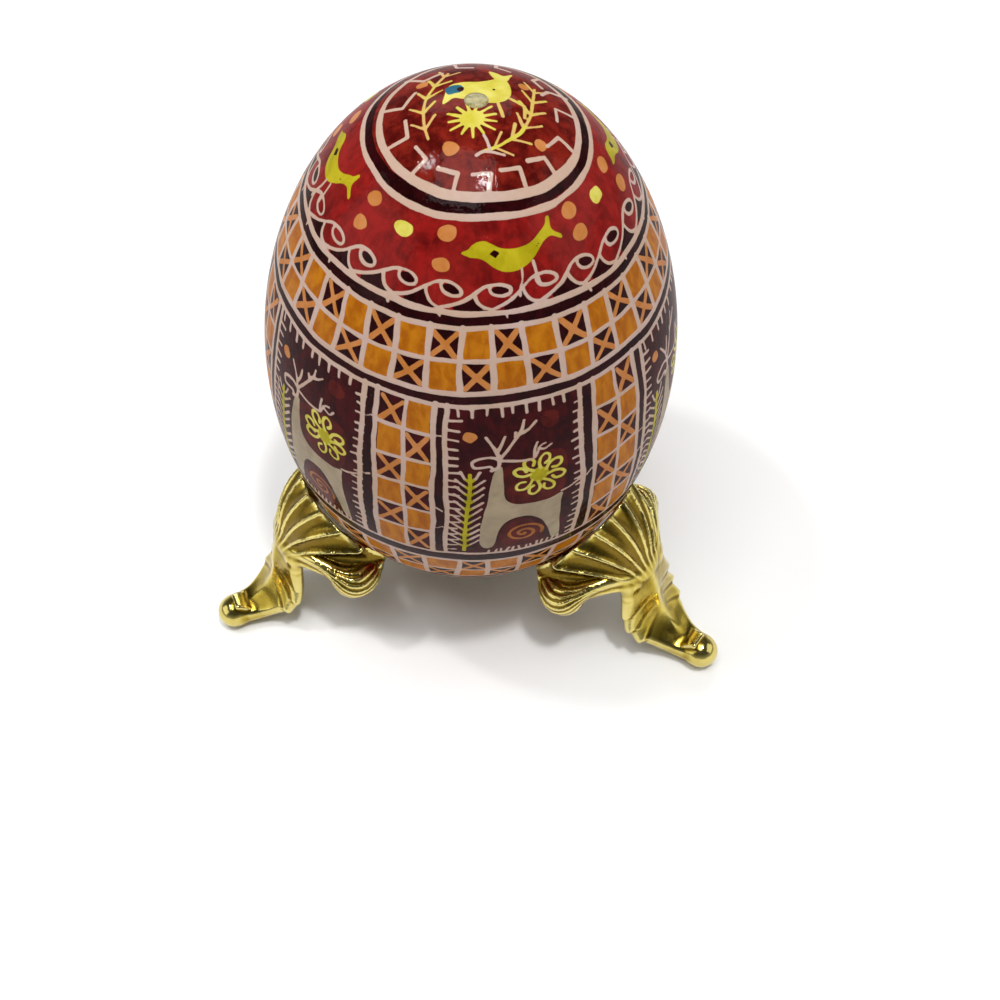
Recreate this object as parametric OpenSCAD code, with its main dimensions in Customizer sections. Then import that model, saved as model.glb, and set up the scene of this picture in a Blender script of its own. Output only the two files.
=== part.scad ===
// Painted eggshell resting in a cast three-legged stand.
// Frame: Z up, the tabletop is z = 0, and x = y = 0 is the middle of the box
// around the three feet. The front of the object faces -Y. Millimetres.

/* [Egg] */
// Radius of the egg at its widest
egg_r = 21.4; // [20:0.1:21.6]
// Length of the egg from pole to pole
egg_h = 60.6; // [56:0.1:64]
// How much fuller the lower half is than the upper half
egg_taper = 0.063; // [0.04:0.001:0.08]
// Fullness of both ends
egg_full = 0.044; // [0.02:0.001:0.06]
// Height of the egg's lowest point above the table when it stands upright
egg_z = 5.2; // [5.1:0.1:8]
// Lean of the egg in its cradle, in degrees
egg_lean = 4.6; // [0:0.1:5]
// Thickness of the eggshell
shell_t = 0.4; // [0.3:0.05:0.8]
// Radius of the two blow holes
hole_r = 1; // [0.8:0.1:1.5]

/* [Cradle ring] */
// Radius of the ring's centre line
ring_r = 10.6; // [10.6:0.1:11]
// Radius of the ring's round wire
ring_wire = 0.9; // [0.7:0.1:0.9]
// Height of the ring's centre line
ring_z = 7; // [6.8:0.1:7]
// Width of the ring's three lugs
lug_w = 4.4; // [4:0.1:5]
// Thickness of the ring's three lugs
lug_t = 1.4; // [1.2:0.1:1.6]
// Distance of the lugs' ends from the axis
lug_r = 18.4; // [18:0.1:19]

/* [Legs] */
// Direction of the front right leg, in degrees from +X
leg_az = -41; // [-60:1:-30]
// Distance of the centre of each foot's ball from the axis
foot_r = 32.5; // [32:0.1:34]
// Radius of each foot's ball
ball_r = 2; // [1.8:0.1:2.2]
// Thickness of the fluted leaf
leaf_t = 1.6; // [1.4:0.1:1.8]
// Number of flutes across the leaf
flutes = 9; // [7:2:11]
// Depth of the flutes
flute_d = 0.35; // [0.1:0.05:0.5]
// Thickness of the web behind the leaf
web_w = 3; // [2.6:0.1:3.4]
// Gap between the egg and the legs, before its lean
seat_gap = 0.5; // [0.5:0.1:0.8]

/* [Screws] */
// Distance of the screws from the axis
screw_s = 16.6; // [16.4:0.1:16.8]
// Radius of the screws' threads
screw_r = 0.9; // [0.8:0.05:1]
// Radius of the screws' heads
head_r = 1.7; // [1.5:0.1:1.9]
// Height of the screws' heads
head_h = 1; // [0.8:0.1:1.2]
// Length of the screws under the head
screw_l = 4.6; // [4:0.1:4.8]

/* [Hidden] */
$fn = 96;

gold = [0.80, 0.62, 0.22];
lean_z = 22.2;                       // height of the point the egg leans about
leg_dirs = [leg_az, leg_az - 120, leg_az + 120];
// The stand's own axis, seen from the middle of the feet's box
axis_xy = -foot_r / 2 * [cos(leg_dirs[0]) + cos(leg_dirs[1]), sin(leg_dirs[2]) + sin(leg_dirs[0])];
module on_axis() translate([axis_xy[0], axis_xy[1], 0]) children();
egg_c = egg_z + egg_h / 2;           // height of the egg's middle when upright
ball_z = ball_r - 0.1;               // the balls end in small flats on the table

// ---- egg outline -------------------------------------------------------
function fat(a) = sin(a) * (1 - egg_taper * cos(a) + egg_full * pow(cos(a), 2));
fat_max = max([for (a = [60 : 0.5 : 120]) fat(a)]);
// radius and height on the outline at angle a from the upper pole, for an
// outline that lies d inside the outer one
function egg_pt(a, d) = [(egg_r - d) * fat(a) / fat_max, (egg_h / 2 - d) * cos(a)];
// angle at which the outline reaches radius r near the upper or lower pole
function a_top(r, d) = asin(r * fat_max / ((egg_r - d) * (1 - egg_taper + egg_full)));
function a_bot(r, d) = 180 - asin(r * fat_max / ((egg_r - d) * (1 + egg_taper + egg_full)));
function arc(d, n) = [for (i = [0 : n]) let (a = a_top(hole_r, d) + (a_bot(hole_r, d) - a_top(hole_r, d)) * i / n) egg_pt(a, d)];
function rev(v) = [for (i = [len(v) - 1 : -1 : 0]) v[i]];

module lean() on_axis() translate([0, 0, lean_z]) rotate([0, egg_lean, 0]) translate([0, 0, egg_c - lean_z]) children();

module egg_shell() color([0.55, 0.12, 0.10]) lean() rotate_extrude($fn = 128)
    polygon([for (p = concat(arc(0, 56), rev(arc(shell_t, 56)))) [max(p[0], hole_r), p[1]]]);

// A round plug of hardened filler that closes a blow hole, with a low dome.
module plug(z_out, z_in, up) {
    rotate_extrude($fn = 48) polygon([[0, z_in - up * 0.15], [hole_r, z_in - up * 0.15],
        [hole_r, z_out - up * 0.02], [hole_r * 0.7, z_out + up * 0.04], [0, z_out + up * 0.08]]);
}
hole_top = egg_pt(a_top(hole_r, 0), 0)[1];
hole_bot = egg_pt(a_bot(hole_r, 0), 0)[1];
module top_hole_seal() color([0.45, 0.42, 0.25]) lean()
    plug(hole_top, egg_pt(a_top(hole_r, shell_t), shell_t)[1], 1);
module bottom_hole_seal() color([0.45, 0.42, 0.25]) lean()
    plug(hole_bot, egg_pt(a_bot(hole_r, shell_t), shell_t)[1], -1);

// ---- cradle ring -------------------------------------------------------
lug_top = ring_z + lug_t / 2;
module cradle_ring() color(gold) on_axis() difference() {
    union() {
        translate([0, 0, ring_z]) rotate_extrude($fn = 96) translate([ring_r, 0]) circle(ring_wire, $fn = 32);
        for (a = leg_dirs) rotate(a) translate([0, 0, ring_z - lug_t / 2]) linear_extrude(lug_t) {
            translate([ring_r, -lug_w / 2]) square([lug_r - ring_r - lug_w / 2, lug_w]);
            translate([lug_r - lug_w / 2, 0]) circle(lug_w / 2);
        }
    }
    for (a = leg_dirs) rotate(a) translate([screw_s, 0, ring_z - lug_t]) cylinder(r = screw_r + 0.1, h = lug_t * 2, $fn = 32);
}

// ---- legs --------------------------------------------------------------
// Points of a leg are [distance from the axis, offset to the side, height].
function bez(a, b, c, t) = a * pow(1 - t, 2) + b * 2 * t * (1 - t) + c * pow(t, 2);
// Top edge of the leaf, where it follows the egg, for f = -1 .. 1
function edge(f) = let (g = abs(f), h = sign(f)) g < 0.5
    ? bez([20.2, 0, 21], [20.1, h * 2.9, 20.9], [18.7, h * 5.1, 18.7], g * 2)
    : bez([18.7, h * 5.1, 18.7], [17.3, h * 7.8, 15.9], [15.5, h * 7.9, 11.9], g * 2 - 1);
// Foot of the leaf at the knee
function knee(f) = [24.7 - 0.5 * f * f, 2.4 * f, 12.6 - 0.8 * f * f];
// Middle of each flute, which gives the leaf its arch
function bulge(f) = let (g = abs(f)) [23.9 - 1.4 * g * g, 6.9 * f, 18.3 - 3 * g * g];
function groove(f) = abs(cos(90 * flutes * f));
leaf_n = 45;     // steps across
leaf_m = 8;      // steps along
function leaf_top(f, v) = bez(knee(f), bulge(f), edge(f), v);
function unit(p) = p / norm(p);
function leaf_nrm(f, v) = let (e = 0.01,
    du = leaf_top(f + e, v) - leaf_top(f - e, v),
    dv = leaf_top(f, min(v + e, 1)) - leaf_top(f, max(v - e, 0))) unit(cross(du, dv));
function leaf_pt(f, v, low) = let (q = leaf_top(f, v), k = leaf_nrm(f, v),
    cut = flute_d * (1 - groove(f)) * min(1, 4 * v + 0.2)) low ? q - k * leaf_t : q - k * cut;

// A closed sheet from a grid of upper points and a grid of lower points.
module sheet(n, m) {
    top = [for (i = [0 : n], j = [0 : m]) leaf_pt(-1 + 2 * i / n, j / m, false)];
    low = [for (i = [0 : n], j = [0 : m]) leaf_pt(-1 + 2 * i / n, j / m, true)];
    w = m + 1;
    k = len(top);
    faces = concat(
        [for (i = [0 : n - 1], j = [0 : m - 1]) [i * w + j, i * w + j + 1, (i + 1) * w + j + 1]],
        [for (i = [0 : n - 1], j = [0 : m - 1]) [i * w + j, (i + 1) * w + j + 1, (i + 1) * w + j]],
        [for (i = [0 : n - 1], j = [0 : m - 1]) [k + i * w + j, k + (i + 1) * w + j + 1, k + i * w + j + 1]],
        [for (i = [0 : n - 1], j = [0 : m - 1]) [k + i * w + j, k + (i + 1) * w + j, k + (i + 1) * w + j + 1]],
        [for (i = [0 : n - 1]) [i * w, (i + 1) * w, k + (i + 1) * w]],
        [for (i = [0 : n - 1]) [i * w, k + (i + 1) * w, k + i * w]],
        [for (i = [0 : n - 1]) [i * w + m, k + (i + 1) * w + m, (i + 1) * w + m]],
        [for (i = [0 : n - 1]) [i * w + m, k + i * w + m, k + (i + 1) * w + m]],
        [for (j = [0 : m - 1]) [j, k + j + 1, j + 1]],
        [for (j = [0 : m - 1]) [j, k + j, k + j + 1]],
        [for (j = [0 : m - 1]) [n * w + j, n * w + j + 1, k + n * w + j + 1]],
        [for (j = [0 : m - 1]) [n * w + j, k + n * w + j + 1, k + n * w + j]]);
    polyhedron(concat(top, low), faces, convexity = 8);
}

// Volute: [distance, side, height, radius] along its centre line
volute = [[14.9, 6.8, 11.9, 0.9], [16.3, 7.4, 11.7, 1.6], [17.8, 7.8, 11.5, 2.1], [19.4, 7.6, 11.4, 2.1],
          [20.8, 6.5, 12.1, 1.8], [22, 4.8, 12.5, 1.6], [23.2, 2.8, 12.1, 1.7]];
// Stem and foot: [distance, height, half thickness, half width]
stem = [[21.8, 11.2, 1.5, 1.6], [23.7, 12, 1.3, 2.7], [24.3, 9.8, 1.5, 3.3], [24.7, 7.6, 1.6, 4.1],
        [25.6, 5.4, 1.5, 4.2], [26.9, 3.8, 1.4, 4], [28.3, 2.7, 1.3, 3.3],
        [29.8, 2, 1.2, 2.7], [31.2, 1.8, 1.3, 2.2]];

module blob(s, t, z, a, b) translate([s, t, z]) scale([a, b, a]) sphere(1, $fn = 18);

module leg() resize([0, 0, 0]) difference() {
    union() {
        sheet(leaf_n, leaf_m);
        for (h = [-1, 1], i = [0 : len(volute) - 2]) hull() for (j = [i, i + 1])
            blob(volute[j][0], h * volute[j][1], volute[j][2], volute[j][3], volute[j][3]);
        for (i = [0 : len(stem) - 2]) hull() for (j = [i, i + 1])
            blob(stem[j][0], 0, stem[j][1], stem[j][2], stem[j][3]);
        translate([foot_r, 0, ball_z]) sphere(ball_r, $fn = 32);
        hull() {
            blob(31.2, 0, 1.8, 1.3, 2.2);
            translate([foot_r - 0.4, 0, ball_z]) sphere(1.8, $fn = 18);
        }
        // web behind the leaf, down to the ring's lug
        rotate([90, 0, 0]) translate([0, 0, -web_w / 2]) linear_extrude(web_w)
            polygon([[13.6, lug_top], [16, 12], [18.3, 15], [19.9, 18], [20.9, 19.2], [22.6, 17], [24.2, 13], [24, 10], [22, lug_top]]);
    }
    // seat of the egg, with room for its lean
    translate([0, 0, egg_c]) rotate_extrude($fn = 90) polygon([for (a = [0 : 4 : 180]) egg_pt(a, -seat_gap)]);
    translate([screw_s, 0, lug_top - 1]) cylinder(r = screw_r + 0.1, h = screw_l - lug_t + 1.3, $fn = 24);
    // flat under the foot
    translate([foot_r - 10, -10, -5]) cube([20, 20, 5]);
}
module leg_front_right() color(gold) on_axis() rotate(leg_dirs[0]) leg();
module leg_front_left() color(gold) on_axis() rotate(leg_dirs[1]) leg();
module leg_rear() color(gold) on_axis() rotate(leg_dirs[2]) leg();

// ---- screws ------------------------------------------------------------
module leg_screws() color([0.7, 0.68, 0.6]) on_axis() for (a = leg_dirs) rotate(a)
    translate([screw_s, 0, ring_z - lug_t / 2]) difference() {
        union() {
            cylinder(r = screw_r, h = screw_l, $fn = 32);
            translate([0, 0, -head_h]) cylinder(r = head_r, h = head_h, $fn = 32);
        }
        translate([-head_r, -0.25, -head_h - 0.1]) cube([head_r * 2, 0.5, 0.5]);
    }

egg_shell();
top_hole_seal();
bottom_hole_seal();
cradle_ring();
leg_front_right();
leg_front_left();
leg_rear();
leg_screws();
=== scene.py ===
"""Looks of the painted eggshell and its cast stand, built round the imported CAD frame.
Lengths are worked out in millimetres and turned into metres when a mesh is made.
"""

import math

import bpy
import numpy as np
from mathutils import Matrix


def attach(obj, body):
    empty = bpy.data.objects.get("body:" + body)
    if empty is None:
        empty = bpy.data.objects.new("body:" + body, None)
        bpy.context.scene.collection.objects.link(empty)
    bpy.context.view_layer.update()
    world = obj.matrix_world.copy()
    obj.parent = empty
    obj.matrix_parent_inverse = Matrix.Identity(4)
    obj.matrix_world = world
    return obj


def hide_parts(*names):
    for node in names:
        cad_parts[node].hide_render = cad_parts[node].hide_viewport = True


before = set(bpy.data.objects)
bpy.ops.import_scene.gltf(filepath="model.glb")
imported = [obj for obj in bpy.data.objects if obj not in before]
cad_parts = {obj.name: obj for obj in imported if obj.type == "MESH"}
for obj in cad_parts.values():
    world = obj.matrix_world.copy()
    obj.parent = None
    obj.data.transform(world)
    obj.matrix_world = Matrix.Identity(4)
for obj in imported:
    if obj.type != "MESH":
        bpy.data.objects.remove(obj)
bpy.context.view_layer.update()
D2R = math.pi / 180
MM = 0.001

# ---------------------------------------------------------------- the CAD's own sizes
EGG_R, EGG_H, EGG_Z, LEAN_Z, LEAN = 21.4, 60.6, 5.2, 22.2, 4.6 * D2R
SHELL_T, HOLE_R = 0.4, 1.0
RING_R, RING_WIRE, RING_Z, LUG_W, LUG_T, LUG_R = 10.6, 0.9, 7.0, 4.4, 1.4, 18.4
FOOT_R, BALL_R = 32.5, 2.0
SCREW_S, HEAD_R, HEAD_H = 16.6, 1.7, 1.0
DIRS = [-41 * D2R, -161 * D2R, 79 * D2R]
AX = -FOOT_R / 2 * (math.cos(DIRS[0]) + math.cos(DIRS[1]))
AY = -FOOT_R / 2 * (math.sin(DIRS[2]) + math.sin(DIRS[0]))
EGG_C = EGG_Z + EGG_H / 2
BALL_Z = BALL_R - 0.1


def fat(a):
    return np.sin(a) * (1 - 0.063 * np.cos(a) + 0.044 * np.cos(a) ** 2)


FAT_MAX = fat(np.radians(np.arange(60, 120.1, 0.5))).max()


def outline(a, d=0.0):
    """Radius and height on the egg's outline at angle a from the upper pole, d inside the outer one."""
    return (EGG_R - d) * fat(a) / FAT_MAX, (EGG_H / 2 - d) * np.cos(a)


def leaned(p):
    """Egg coordinates to the row frame: the egg leans to +X about a point on the stand's axis."""
    z = p[:, 2] + EGG_C - LEAN_Z
    c, s = math.cos(LEAN), math.sin(LEAN)
    return np.stack([c * p[:, 0] + s * z + AX, p[:, 1] + AY, -s * p[:, 0] + c * z + LEAN_Z], 1)


# ---------------------------------------------------------------- helpers
def waves(p, size, seed, n=22):
    """Smooth noise of about unit size, from sines in seeded directions; size is its grain in mm."""
    rng = np.random.default_rng(seed)
    out = np.zeros(len(p))
    for _ in range(n):
        d = rng.normal(size=3)
        d *= 2 * math.pi / size * rng.uniform(0.55, 1.3) / np.linalg.norm(d)
        out += np.sin(p @ d + rng.uniform(0, 2 * math.pi))
    return out / math.sqrt(n / 2)


def make_mesh(name, verts, faces, attrs=None):
    """A smooth mesh object from points in mm and an array of quads."""
    me = bpy.data.meshes.new(name)
    verts = np.asarray(verts, np.float32) * MM
    faces = np.asarray(faces, np.int32)
    k = faces.shape[1]
    me.vertices.add(len(verts))
    me.vertices.foreach_set("co", verts.ravel())
    me.loops.add(faces.size)
    me.loops.foreach_set("vertex_index", faces.ravel())
    me.polygons.add(len(faces))
    me.polygons.foreach_set("loop_start", np.arange(0, faces.size, k, dtype=np.int32))
    me.update(calc_edges=True)
    me.polygons.foreach_set("use_smooth", np.ones(len(faces), bool))
    for key, values in (attrs or {}).items():
        kind = "FLOAT_VECTOR" if values.ndim == 2 else "FLOAT"
        at = me.attributes.new(key, kind, "POINT")
        at.data.foreach_set("vector" if values.ndim == 2 else "value", values.astype(np.float32).ravel())
    me.validate()
    me.update()
    ob = bpy.data.objects.new(name, me)
    bpy.context.scene.collection.objects.link(ob)
    return ob


def surface_nets(phi, lo, h):
    """Closed quad mesh of the zero surface of a field that is negative inside."""
    neg = phi < 0
    n = phi.shape
    c = [(i, j, k) for i in (0, 1) for j in (0, 1) for k in (0, 1)]
    cut = lambda o, a=neg: a[o[0]: n[0] - 1 + o[0], o[1]: n[1] - 1 + o[1], o[2]: n[2] - 1 + o[2]]
    count = sum(cut(o).astype(np.int8) for o in c)
    I = np.argwhere((count > 0) & (count < 8))
    vals = {o: phi[I[:, 0] + o[0], I[:, 1] + o[1], I[:, 2] + o[2]] for o in c}
    pos, hits = np.zeros((len(I), 3)), np.zeros(len(I))
    for a in c:
        for ax in range(3):
            if a[ax]:
                continue
            b = tuple(1 if m == ax else a[m] for m in range(3))
            va, vb = vals[a], vals[b]
            x = (va < 0) != (vb < 0)
            t = np.where(x, va / np.where(x, va - vb, 1), 0)
            q = np.array(a, float)[None].repeat(len(I), 0)
            q[:, ax] += t
            pos += q * x[:, None]
            hits += x
    verts = (I + pos / hits[:, None]) * h + np.asarray(lo)
    index = np.full((n[0] - 1, n[1] - 1, n[2] - 1), -1, np.int64)
    index[I[:, 0], I[:, 1], I[:, 2]] = np.arange(len(I))
    faces = []
    for ax in range(3):
        u, v = (ax + 1) % 3, (ax + 2) % 3
        a = [slice(1, -1)] * 3
        b = [slice(1, -1)] * 3
        a[ax], b[ax] = slice(0, -1), slice(1, None)
        sa, sb = neg[tuple(a)], neg[tuple(b)]
        E = np.argwhere(sa != sb)
        first = sa[E[:, 0], E[:, 1], E[:, 2]]
        base = E.copy()
        base[:, u] += 1
        base[:, v] += 1
        q = []
        for du, dv in ((0, 0), (1, 0), (1, 1), (0, 1)):
            w = base.copy()
            w[:, u] -= 1 - du
            w[:, v] -= 1 - dv
            q.append(index[w[:, 0], w[:, 1], w[:, 2]])
        q = np.stack(q, 1)
        q[~first] = q[~first][:, ::-1]
        faces.append(q)
    return verts, np.concatenate(faces)


def relax(verts, faces, times, amount=0.5, keep=None):
    """Laplacian smoothing."""
    e = np.concatenate([faces[:, [0, 1]], faces[:, [1, 2]], faces[:, [2, 3]], faces[:, [3, 0]]])
    e = np.concatenate([e, e[:, ::-1]])
    deg = np.bincount(e[:, 0], minlength=len(verts))[:, None]
    for _ in range(times):
        m = np.stack([np.bincount(e[:, 0], verts[e[:, 1], k], len(verts)) for k in range(3)], 1) / deg
        step = (m - verts) * amount
        verts = verts + (step if keep is None else step * keep[:, None])
    return verts


def sample(phi, lo, h, p):
    """Trilinear read of a grid."""
    g = (p - np.asarray(lo)) / h
    i = np.clip(np.floor(g).astype(int), 0, np.array(phi.shape) - 2)
    f = g - i
    out = 0
    for a in (0, 1):
        for b in (0, 1):
            for c in (0, 1):
                w = (f[:, 0] if a else 1 - f[:, 0]) * (f[:, 1] if b else 1 - f[:, 1]) * (f[:, 2] if c else 1 - f[:, 2])
                out = out + w * phi[i[:, 0] + a, i[:, 1] + b, i[:, 2] + c]
    return out


def smin(a, b, k):
    h = np.clip(0.5 + 0.5 * (b - a) / k, 0, 1)
    return b + (a - b) * h - k * h * (1 - h)


def smax(a, b, k):
    return -smin(-a, -b, k)


def spline(pts, per=8, closed=False):
    """Catmull-Rom curve through points of any dimension."""
    p = np.asarray(pts, float)
    if len(p) < 3 and not closed:
        return p
    ext = np.concatenate([p[-1:], p, p[:2]]) if closed else np.concatenate([2 * p[:1] - p[1:2], p, 2 * p[-1:] - p[-2:-1]])
    out = []
    for i in range(1, len(ext) - 2):
        a, b, c, d = ext[i - 1], ext[i], ext[i + 1], ext[i + 2]
        t = (np.arange(per) / per)[:, None]
        out.append(0.5 * (2 * b + (c - a) * t + (2 * a - 5 * b + 4 * c - d) * t**2 + (3 * b - 3 * c + d - a) * t**3))
    out.append(p[:1] if closed else p[-1:])
    return np.concatenate(out)


# ---------------------------------------------------------------- shader helpers
class Nodes:
    def __init__(self, name):
        self.mat = bpy.data.materials.new(name)
        self.mat.use_nodes = True
        self.t = self.mat.node_tree
        self.t.nodes.clear()
        self.out = self.t.nodes.new("ShaderNodeOutputMaterial")

    def new(self, kind, **kw):
        n = self.t.nodes.new("ShaderNode" + kind)
        for k, v in kw.items():
            setattr(n, k, v)
        return n

    def put(self, socket, value):
        if hasattr(value, "links") or isinstance(value, bpy.types.NodeSocket):
            self.t.links.new(value, socket)
        elif isinstance(value, (tuple, list)):
            socket.default_value = tuple(value) + ((1.0,) if len(value) == 3 and len(socket.default_value) == 4 else ())
        else:
            socket.default_value = value

    def math(self, op, a, b=None, c=None, clamp=False):
        n = self.new("Math", operation=op, use_clamp=clamp)
        for i, v in enumerate((a, b, c)):
            if v is not None:
                self.put(n.inputs[i], v)
        return n.outputs[0]

    def mix(self, f, a, b, kind="MIX"):
        n = self.new("Mix", data_type="RGBA", blend_type=kind, clamp_factor=True)
        self.put(n.inputs["Factor"], f)
        self.put(n.inputs[6], a)
        self.put(n.inputs[7], b)
        return n.outputs[2]

    def ramp(self, v, lo, hi, a=0.0, b=1.0, smooth=True):
        n = self.new("MapRange", interpolation_type="SMOOTHSTEP" if smooth else "LINEAR", clamp=True)
        self.put(n.inputs["Value"], v)
        for k, x in zip(("From Min", "From Max", "To Min", "To Max"), (lo, hi, a, b)):
            self.put(n.inputs[k], x)
        return n.outputs["Result"]

    def noise(self, size_mm, detail=3.0, rough=0.5, distortion=0.0, vector=None, seed=0.0):
        """Noise with grains of about size_mm, from the piece's own place."""
        n = self.new("TexNoise", noise_dimensions="3D")
        n.inputs["Scale"].default_value = 1.0 / (size_mm * MM)
        n.inputs["Detail"].default_value = detail
        n.inputs["Roughness"].default_value = rough
        n.inputs["Distortion"].default_value = distortion
        v = vector if vector is not None else self.coords(seed)
        self.t.links.new(v, n.inputs["Vector"])
        return n.outputs["Fac"]

    def coords(self, seed=0.0, stretch=(1, 1, 1)):
        if not hasattr(self, "_c"):
            self._c = self.new("TexCoord").outputs["Object"]
        m = self.new("Mapping")
        m.inputs["Location"].default_value = (seed, seed * 1.7, seed * 0.6)
        m.inputs["Scale"].default_value = stretch
        self.t.links.new(self._c, m.inputs["Vector"])
        return m.outputs["Vector"]

    def attr(self, name):
        n = self.new("Attribute", attribute_type="GEOMETRY", attribute_name=name)
        return n

    def bump(self, height, dist_mm, strength=1.0, normal=None):
        n = self.new("Bump")
        n.inputs["Strength"].default_value = strength
        n.inputs["Distance"].default_value = dist_mm * MM
        self.t.links.new(height, n.inputs["Height"])
        if normal is not None:
            self.t.links.new(normal, n.inputs["Normal"])
        return n.outputs["Normal"]

    def shader(self, **kw):
        b = self.new("BsdfPrincipled")
        for k, v in kw.items():
            self.put(b.inputs[k.replace("_", " ")], v)
        self.t.links.new(b.outputs[0], self.out.inputs[0])
        return b


# ================================================================ the painted shell
TAB_A = np.linspace(0, math.pi, 4001)
TAB_R, TAB_Z = outline(TAB_A)
TAB_L = np.concatenate([[0], np.cumsum(np.hypot(np.diff(TAB_R), np.diff(TAB_Z)))])
L_ALL = TAB_L[-1]
L_HOLE0 = np.interp(HOLE_R, TAB_R[:1500], TAB_L[:1500])
L_HOLE1 = L_ALL - np.interp(HOLE_R, TAB_R[::-1][:1500], (L_ALL - TAB_L[::-1])[:1500])
NT, NL = 848, 496
L_ROW = np.linspace(L_HOLE0, L_HOLE1, NL)
T_COL = (np.arange(NT) + 0.5) / NT * 360 - 180
A_ROW = np.interp(L_ROW, TAB_L, TAB_A)
R_ROW = np.interp(L_ROW, TAB_L, TAB_R)
TH, LL = np.meshgrid(T_COL, L_ROW)
RR = R_ROW[:, None] + 0 * TH
EGG_P = np.stack([RR * np.sin(TH * D2R), -RR * np.cos(TH * D2R), outline(A_ROW)[1][:, None] + 0 * TH], -1).reshape(-1, 3)


def grid_noise(size, seed):
    return waves(EGG_P, size, seed).reshape(TH.shape)


# A hand's wobble: the whole drawing is read a little off its true place.
WX = 0.085 * grid_noise(8.0, 11) + 0.022 * grid_noise(2.6, 12)
WL = 0.075 * grid_noise(8.0, 13) + 0.022 * grid_noise(2.6, 14)
WIDTH = 0.016 * grid_noise(2.6, 15) + 0.007 * grid_noise(0.9, 16)  # pen pressure, in mm
TW = TH + WX / RR / D2R
LW = LL + WL
F = {k: np.full(TH.shape, 9.0) for k in ("W", "Y", "G", "O", "P", "R", "N", "K", "S", "B", "T", "D", "E", "C")}


def r_at(l):
    return np.interp(l, TAB_L, TAB_R)


def to_lines(px, py, pts, hw):
    """Distance to a polyline with a half width at each point."""
    d = np.full(px.shape, 9.0)
    for (x0, y0), (x1, y1), w0, w1 in zip(pts[:-1], pts[1:], hw[:-1], hw[1:]):
        ex, ey = x1 - x0, y1 - y0
        q = ex * ex + ey * ey
        t = np.clip(((px - x0) * ex + (py - y0) * ey) / q, 0, 1) if q > 1e-9 else 0 * px
        d = np.minimum(d, np.hypot(px - x0 - t * ex, py - y0 - t * ey) - (w0 + (w1 - w0) * t))
    return d


def to_shape(px, py, pts):
    """Signed distance to a closed polygon, negative inside."""
    d, inside = np.full(px.shape, 9.0), np.zeros(px.shape, bool)
    for (x0, y0), (x1, y1) in zip(pts, np.roll(pts, -1, 0)):
        ex, ey = x1 - x0, y1 - y0
        q = ex * ex + ey * ey
        if q < 1e-12:
            continue
        t = np.clip(((px - x0) * ex + (py - y0) * ey) / q, 0, 1)
        d = np.minimum(d, np.hypot(px - x0 - t * ex, py - y0 - t * ey))
        cross = (y0 > py) != (y1 > py)
        if y1 != y0:
            inside ^= cross & (px < x0 + (py - y0) / (y1 - y0) * ex)
    return np.where(inside, -d, d)


class Band:
    """Places on the egg as (degrees round, mm from the upper pole); turn moves a drawing round, flip mirrors it to the lower half."""

    def __init__(self, turn=0.0, flip=None):
        self.turn, self.flip = turn, flip

    def place(self, pts):
        p = np.array(pts, float)
        p[:, 0] += self.turn
        if self.flip is not None:
            p[:, 1] = self.flip[0] - self.flip[1] * p[:, 1]
        return p

    def read(self, p, pad):
        l0, l1 = p[:, 1].min() - pad - 0.5, p[:, 1].max() + pad + 0.5
        i0, i1 = np.searchsorted(L_ROW, l0), np.searchsorted(L_ROW, l1)
        c = (p[:, 0].min() + p[:, 0].max()) / 2
        ext = (pad + 0.5) / max(r_at(np.clip((l0 + l1) / 2, 3, L_ALL - 3)) * 0.8, 1) / D2R + (p[:, 0].max() - p[:, 0].min()) / 2
        j0, j1 = int(np.floor((c - ext + 180) / 360 * NT)), int(np.ceil((c + ext + 180) / 360 * NT))
        cols = np.arange(j0, min(j1, j0 + NT)) % NT
        win = (slice(i0, i1), cols)
        th = TW[i0:i1][:, cols]
        dth = (th - c + 180) % 360 - 180
        px = dth * D2R * RR[i0:i1][:, cols]
        q = np.stack([(p[:, 0] - c) * D2R * r_at(p[:, 1]), p[:, 1]], 1)
        return win, px, LW[i0:i1][:, cols], q


class Cap:
    """Places round a pole in mm: x to the right, y to the front. turn is in degrees."""

    def __init__(self, turn=0.0, lower=False, size=1.0):
        self.turn, self.lower, self.size = turn * D2R, lower, size
        k = np.searchsorted(L_ROW, 14.0)
        self.rows = slice(NL - k, NL) if lower else slice(0, k)
        l = (L_ALL - LL if lower else LL)[self.rows]
        self.px = l * np.sin(TH[self.rows] * D2R) + WX[self.rows]
        self.py = l * np.cos(TH[self.rows] * D2R) + WL[self.rows]

    def place(self, pts):
        p = np.array(pts, float) * self.size
        c, s = math.cos(self.turn), math.sin(self.turn)
        return np.stack([c * p[:, 0] - s * p[:, 1], s * p[:, 0] + c * p[:, 1]], 1)

    def read(self, p, pad):
        k = np.nonzero((self.px > p[:, 0].min() - pad - 0.5) & (self.px < p[:, 0].max() + pad + 0.5)
                       & (self.py > p[:, 1].min() - pad - 0.5) & (self.py < p[:, 1].max() + pad + 0.5))
        win = (k[0] + self.rows.start, k[1])
        return win, self.px[k], self.py[k], p


def line(chart, key, pts, w=0.2, smooth=True, closed=False, taper=0.0):
    """A pen line; w is its half width in mm."""
    p = chart.place(pts)
    if smooth and len(p) > 2:
        p = spline(p, 6, closed)
    elif closed:
        p = np.concatenate([p, p[:1]])
    win, px, py, q = chart.read(p, w)
    hw = np.full(len(q), float(w))
    if taper:
        hw *= np.linspace(1, 1 - taper, len(q))
    F[key][win] = np.minimum(F[key][win], to_lines(px, py, q, hw) - WIDTH[win])


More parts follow.
